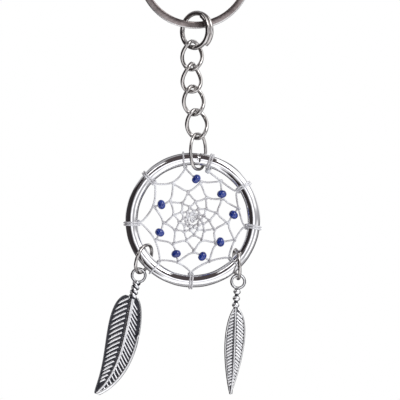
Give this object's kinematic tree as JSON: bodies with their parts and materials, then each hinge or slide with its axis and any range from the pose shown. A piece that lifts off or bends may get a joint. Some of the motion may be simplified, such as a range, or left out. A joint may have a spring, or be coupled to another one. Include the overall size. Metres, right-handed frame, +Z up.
{
  "type": "dream catcher",
  "caption": "Dream catcher on a key ring: a metal hoop with a woven thread net and glass beads, hung from a twisted-link chain, with swinging metal feathers below.",
  "frame": {"origin": "centre of the split key ring", "axes": "+Z up along the hanging charm towards the key ring, +Y to the back, so the front faces -Y"},
  "size_m": [0.0436, 0.0084, 0.1251],
  "materials": {
    "key_ring_steel": "nickel plated spring steel, drawn",
    "link_nickel": "bright nickel plate",
    "hoop_chrome": "polished",
    "thread": "glossy waxed nylon thread",
    "glue": "clear set glue",
    "bead_glass": "opaque royal blue glass",
    "antique_silver": "antiqued silver plate on cast zinc, dark in the recesses"
  },
  "bodies": {
    "key_ring": {"key_ring": "key_ring_steel"},
    "top_jump_ring": {"top_jump_ring": "link_nickel"},
    "chain_link_1": {"chain_link_1": "link_nickel"},
    "chain_link_2": {"chain_link_2": "link_nickel"},
    "chain_link_3": {"chain_link_3": "link_nickel"},
    "chain_link_4": {"chain_link_4": "link_nickel"},
    "hoop_link": {"hoop_link": "link_nickel"},
    "hoop": {"hoop": "hoop_chrome", "web_thread": "thread", "glue_drop": "glue"},
    "bead_1": {"bead_1": "bead_glass"},
    "bead_2": {"bead_2": "bead_glass"},
    "bead_3": {"bead_3": "bead_glass"},
    "bead_4": {"bead_4": "bead_glass"},
    "bead_5": {"bead_5": "bead_glass"},
    "bead_6": {"bead_6": "bead_glass"},
    "bead_7": {"bead_7": "bead_glass"},
    "bead_8": {"bead_8": "bead_glass"},
    "left_jump_ring": {"left_jump_ring": "link_nickel"},
    "left_feather": {"left_feather": "antique_silver"},
    "right_jump_ring": {"right_jump_ring": "link_nickel"},
    "right_feather": {"right_feather": "antique_silver"}
  },
  "joints": [
    {"name": "jump_ring_swing", "type": "hinge", "parent": "key_ring", "child": "top_jump_ring", "pos_m": [0, 0, -0.01405], "axis": [1, 0, 0], "range_deg": [-10, 45]},
    {"name": "link_1_swing", "type": "hinge", "parent": "top_jump_ring", "child": "chain_link_1", "pos_m": [-0.00022, -0.00028, -0.0199], "axis": [0.788, -0.6157, 0], "range_deg": [-45, 45]},
    {"name": "link_2_swing", "type": "hinge", "parent": "chain_link_1", "child": "chain_link_2", "pos_m": [-0.00096, 0.0003, -0.02557], "axis": [0.8172, -0.5736, -0.0571], "range_deg": [-45, 45]},
    {"name": "link_3_swing", "type": "hinge", "parent": "chain_link_2", "child": "chain_link_3", "pos_m": [-0.00093, 0, -0.03132], "axis": [0.9653, -0.2588, -0.0337], "range_deg": [-45, 20]},
    {"name": "link_4_swing", "type": "hinge", "parent": "chain_link_3", "child": "chain_link_4", "pos_m": [-0.00014, 0, -0.03727], "axis": [0.8172, -0.5736, 0.0571], "range_deg": [-45, 45]},
    {"name": "hoop_link_swing", "type": "hinge", "parent": "chain_link_4", "child": "hoop_link", "pos_m": [0.00077, 0, -0.04341], "axis": [-0.7631, 0.6428, -0.0668], "range_deg": [-45, 45]},
    {"name": "hoop_swing", "type": "hinge", "parent": "hoop_link", "child": "hoop", "pos_m": [0.0008, 0, -0.04886], "axis": [0.9961, 0, -0.088], "range_deg": [-60, 60]},
    {"name": "left_jump_ring_swing", "type": "hinge", "parent": "hoop", "child": "left_jump_ring", "pos_m": [-0.01321, 0, -0.07438], "axis": [-0.6088, 0, 0.7934], "range_deg": [-25, 25]},
    {"name": "left_feather_swing", "type": "hinge", "parent": "left_jump_ring", "child": "left_feather", "pos_m": [-0.01466, 0, -0.07834], "axis": [0.4119, 0.8988, -0.1499], "range_deg": [-25, 60]},
    {"name": "right_jump_ring_swing", "type": "hinge", "parent": "hoop", "child": "right_jump_ring", "pos_m": [0.01084, 0, -0.07575], "axis": [-0.6947, 0, -0.7193], "range_deg": [-20, 45]},
    {"name": "right_feather_swing", "type": "hinge", "parent": "right_jump_ring", "child": "right_feather", "pos_m": [0.0112, 0, -0.07995], "axis": [0.173, -0.9848, 0.0151], "range_deg": [-20, 60]},
    {"name": "bead_1_spin", "type": "hinge", "parent": "hoop", "child": "bead_1", "pos_m": [0.00033, 0, -0.054], "axis": [0.7472, 0, -0.6646], "continuous": true},
    {"name": "bead_2_spin", "type": "hinge", "parent": "hoop", "child": "bead_2", "pos_m": [0.00696, 0, -0.05794], "axis": [0.0565, 0, -0.9984], "continuous": true},
    {"name": "bead_3_spin", "type": "hinge", "parent": "hoop", "child": "bead_3", "pos_m": [0.01001, 0, -0.06332], "axis": [-0.633, 0, -0.7742], "continuous": true},
    {"name": "bead_4_spin", "type": "hinge", "parent": "hoop", "child": "bead_4", "pos_m": [0.00661, 0, -0.07041], "axis": [-0.99, 0, -0.1411], "continuous": true},
    {"name": "bead_5_spin", "type": "hinge", "parent": "hoop", "child": "bead_5", "pos_m": [0.00191, 0, -0.07413], "axis": [-0.8317, 0, 0.5552], "continuous": true},
    {"name": "bead_6_spin", "type": "hinge", "parent": "hoop", "child": "bead_6", "pos_m": [-0.0049, 0, -0.07349], "axis": [-0.202, 0, 0.9794], "continuous": true},
    {"name": "bead_7_spin", "type": "hinge", "parent": "hoop", "child": "bead_7", "pos_m": [-0.00917, 0, -0.06794], "axis": [0.4693, 0, 0.883], "continuous": true},
    {"name": "bead_8_spin", "type": "hinge", "parent": "hoop", "child": "bead_8", "pos_m": [-0.00874, 0, -0.06067], "axis": [0.9662, 0, 0.2579], "continuous": true}
  ]
}
